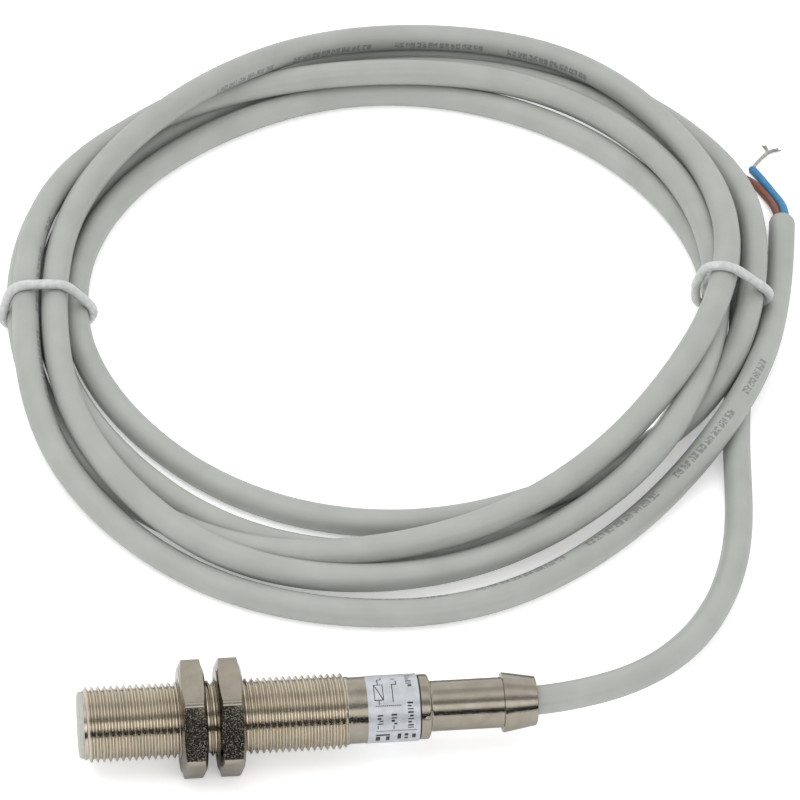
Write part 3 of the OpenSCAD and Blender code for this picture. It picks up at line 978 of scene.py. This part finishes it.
def silver_label_film():
    """Brushed silver polyester film with plain black print."""
    tree, shader, place = begin("label_foil", "silver_polyester_film", "#BFC2C7", 0.34, 0.55)
    base = ramp(tree, grain(tree, place, 1.2, 3), [(0.3, linear("#B8BBC1")), (0.7, linear("#C8CBD0"))])
    ink = label_marks(tree, place)
    mixed = add(tree, "ShaderNodeMix", {0: ink, 6: base, 7: linear("#1B1B1D")}, data_type="RGBA")
    tree.links.new(mixed.outputs[2], shader.inputs["Base Color"])
    tree.links.new(math_node(tree, "MULTIPLY_ADD", ink, -0.55, 0.55), shader.inputs["Metallic"])
    gloss(tree, shader, grain(tree, place, 0.1, 2, along=(1, 30, 30)), 0.3, 0.4)
    relief(tree, shader, grain(tree, place, 0.12, 2, along=(1, 30, 30)), 0.003)


def seal_rubber():
    """Moulded nitrile rubber: near black and dull."""
    tree, shader, place = begin("seal_rubber", "moulded_nitrile_rubber", "#222221", 0.6)
    colours(tree, shader, grain(tree, place, 0.6, 3), [(0.3, "#1C1C1B"), (0.7, "#2B2B29")])
    relief(tree, shader, grain(tree, place, 0.2, 2), 0.008)


def tie_string():
    """Soft twisted cotton: off-white and matt, with a slightly lumpy, fuzzy skin."""
    tree, shader, place = begin("tie_string", "soft_white_twine", "#BFC0BF", 0.75, Sheen_Weight=0.25)
    colours(tree, shader, grain(tree, place, 0.9, 3), [(0.3, "#B3B5B4"), (0.7, "#C9CAC9")])
    lumps = relief(tree, shader, grain(tree, place, 0.7, 2), 0.12)
    relief(tree, shader, grain(tree, place, 0.16, 3, 0.7), 0.03, lumps)


def core_pvc(slot, name, dark, light):
    """Extruded PVC core sleeve: strong colour, with a soft and slightly uneven shine."""
    tree, shader, place = begin(slot, name, light, 0.4, Specular_IOR_Level=0.45)
    colours(tree, shader, grain(tree, place, 1.0, 3), [(0.3, dark), (0.7, light)])
    gloss(tree, shader, grain(tree, place, 0.5, 2), 0.34, 0.48)
    relief(tree, shader, grain(tree, place, 0.5, 2), 0.01)


def tinned_copper():
    """Tin on soft copper wire: pale grey metal, a little dull, duller in patches."""
    tree, shader, place = begin("tinned_copper", "tinned_copper_wire", "#C4C4C2", 0.34, 1.0)
    colours(tree, shader, grain(tree, place, 0.5, 3), [(0.3, "#A9A9A8"), (0.7, "#D2D2D0")])
    gloss(tree, shader, grain(tree, place, 0.2, 2), 0.26, 0.46)
    relief(tree, shader, grain(tree, place, 0.08, 2), 0.004)


def sintered_ferrite():
    """Sintered manganese-zinc ferrite: dark grey ceramic with a fine grain and a dull shine."""
    tree, shader, place = begin("ferrite", "sintered_ferrite", "#3B3B3E", 0.55)
    colours(tree, shader, grain(tree, place, 0.25, 4), [(0.3, "#303033"), (0.7, "#48484B")])
    relief(tree, shader, grain(tree, place, 0.12, 3), 0.01)


def bobbin_plastic():
    """Moulded LCP: cream and satin, with faint flow streaks."""
    tree, shader, place = begin("bobbin_plastic", "moulded_lcp", "#D9D0B8", 0.45)
    colours(tree, shader, grain(tree, place, 0.6, 3, along=(1, 4, 1)), [(0.3, "#CFC5AB"), (0.7, "#E2DAC4")])
    relief(tree, shader, grain(tree, place, 0.2, 2), 0.005)


def enamelled_copper():
    """Enamelled copper wire, wound close: warm brown metal with a groove between turns of 0.1 mm wire,
    drawn 0.25 mm apart so that they show."""
    tree, shader, place = begin("enamelled_copper", "enamelled_copper_wire", "#A8582A", 0.3, 0.9)
    colours(tree, shader, grain(tree, place, 0.5, 3), [(0.3, "#8F4520"), (0.7, "#BC6C38")])
    part = add(tree, "ShaderNodeSeparateXYZ", {0: place})
    turns = math_node(tree, "SINE", math_node(tree, "MULTIPLY", part.outputs["X"], 2 * math.pi / (0.25 * MM)))
    relief(tree, shader, turns, 0.03)


def shield_brass():
    """Rolled brass strip: yellow metal with fine rolling lines round it and a light tarnish."""
    tree, shader, place = begin("shield_brass", "rolled_brass_strip", "#C2A35A", 0.3, 1.0)
    colours(tree, shader, grain(tree, place, 1.5, 4), [(0.3, "#A98B48"), (0.7, "#CDB068")])
    relief(tree, shader, grain(tree, place, 0.1, 2, along=(1, 20, 20)), 0.004)


def board_laminate():
    """Green solder mask on FR-4: smooth, with the glass weave showing faintly every 0.5 mm."""
    tree, shader, place = begin("board_laminate", "solder_masked_fr4", "#1F5A34", 0.32)
    part = add(tree, "ShaderNodeSeparateXYZ", {0: place})
    weave = [math_node(tree, "SINE", math_node(tree, "MULTIPLY", part.outputs[k], 2 * math.pi / (0.5 * MM)))
             for k in ("X", "Y")]
    crossed = math_node(tree, "MULTIPLY_ADD", math_node(tree, "MULTIPLY", *weave), 0.5, 0.5)
    colours(tree, shader, crossed, [(0.1, "#1B5230"), (0.9, "#24643B")])
    relief(tree, shader, crossed, 0.006)


def chip_epoxy():
    """Moulded epoxy of chips and resistor coats: black-grey and finely grained."""
    tree, shader, place = begin("chip_plastic", "moulded_epoxy", "#202022", 0.5)
    colours(tree, shader, grain(tree, place, 0.3, 4), [(0.3, "#1A1A1C"), (0.7, "#2A2A2C")])
    relief(tree, shader, grain(tree, place, 0.1, 2), 0.008)


def tantalum_shell():
    """Moulded shell of a tantalum capacitor: mustard yellow, satin."""
    tree, shader, place = begin("tantalum_yellow", "moulded_yellow_epoxy", "#D2962A", 0.42)
    colours(tree, shader, grain(tree, place, 0.5, 3), [(0.3, "#C68A22"), (0.7, "#DBA23A")])
    relief(tree, shader, grain(tree, place, 0.12, 2), 0.006)


def capacitor_ceramic():
    """Fired barium titanate: tan ceramic with a fine speckle."""
    tree, shader, place = begin("capacitor_ceramic", "fired_tan_ceramic", "#B08A60", 0.5)
    colours(tree, shader, grain(tree, place, 0.2, 4), [(0.3, "#A27C54"), (0.7, "#BE9A70")])
    relief(tree, shader, grain(tree, place, 0.1, 2), 0.005)


def potting_resin():
    """Cast polyurethane: dark and glossy, with cloudy filler and small dimples where air rose."""
    tree, shader, place = begin("potting_resin", "cast_polyurethane", "#2E2D2B", 0.22)
    colours(tree, shader, grain(tree, place, 2.0, 4), [(0.3, "#262523"), (0.7, "#393836")])
    relief(tree, shader, grain(tree, place, 0.9, 2), 0.02)


def make_materials(lead_length):
    """One material for each slot; the jacket's print is spaced by the lead's length."""
    nickel_plated_brass()
    nickel_plated_nut()
    moulded_face_plastic()
    pvc_jacket(lead_length)
    silver_label_film()
    seal_rubber()
    tie_string()
    core_pvc("blue_insulation", "blue_core_pvc", "#2E6E9A", "#3A7DAA")
    core_pvc("brown_insulation", "brown_core_pvc", "#6B4032", "#7D4E3E")
    tinned_copper()
    sintered_ferrite()
    bobbin_plastic()
    enamelled_copper()
    shield_brass()
    board_laminate()
    chip_epoxy()
    tantalum_shell()
    capacitor_ceramic()
    potting_resin()


def finish_nodes():
    """Gives every node that the frame brought the finish of its own slot."""
    slots = {part["node"]: part["material_slot"] for part in frame["record"]["subparts"]}
    for name, part in NODES.items():
        part.data.materials.clear()
        part.data.materials.append(FINISHES[slots[name]])


make_camera()
make_world()
make_stage()
path = cable_path()
make_materials(length_of(path))
cable = make_cable(path)
pieces = [
    make_tie("left_tie_string", path, LEFT_TIE, 12, "tie_left"),
    make_tie("right_tie_string", path, RIGHT_TIE, 7, "tie_right"),
    make_core("blue_core", BLUE_ROUTE, "blue_insulation", "blue_wire"),
    make_core("brown_core", BROWN_ROUTE, "brown_insulation", "brown_wire"),
    make_strands("blue_core_strands", BLUE_FORKS, 10, "blue_strands"),
    make_strands("brown_core_strands", BROWN_FORKS, 7, "brown_strands"),
]
make_barrel()
make_nut("front_nut", "hex_nut_front")
make_nut("rear_nut", "hex_nut_rear")
make_cap()
make_label()
make_seal()
make_fitting()
finish_nodes()
